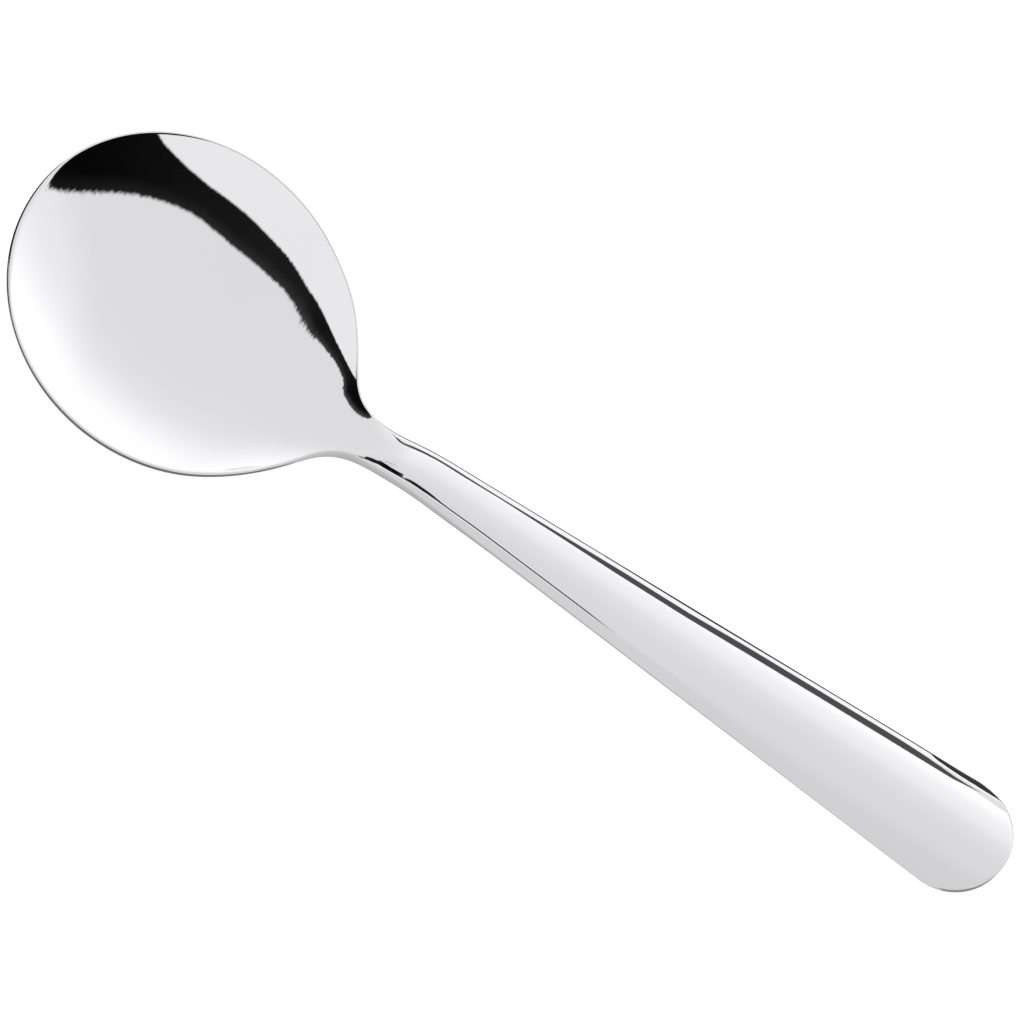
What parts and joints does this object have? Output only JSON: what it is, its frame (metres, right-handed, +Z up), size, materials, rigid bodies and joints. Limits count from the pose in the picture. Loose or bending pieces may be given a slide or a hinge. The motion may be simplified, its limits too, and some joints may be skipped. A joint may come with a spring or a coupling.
{
  "type": "soup spoon",
  "caption": "Round-bowl soup spoon in polished steel: a shallow tilted bowl runs through a narrow neck into a bevelled handle that widens to a rounded end.",
  "frame": {"origin": "on the table, under the middle of the spoon's box as it lies at rest on its bowl and the end of its handle", "axes": "+X from the tip of the bowl towards the end of the handle, +Y across the spoon, +Z up out of the bowl"},
  "size_m": [0.15, 0.044, 0.0121],
  "materials": {
    "polished_steel": "mirror-polished stainless steel with fine polishing lines, not plated"
  },
  "bodies": {
    "root": {"spoon": "polished_steel"}
  },
  "joints": []
}
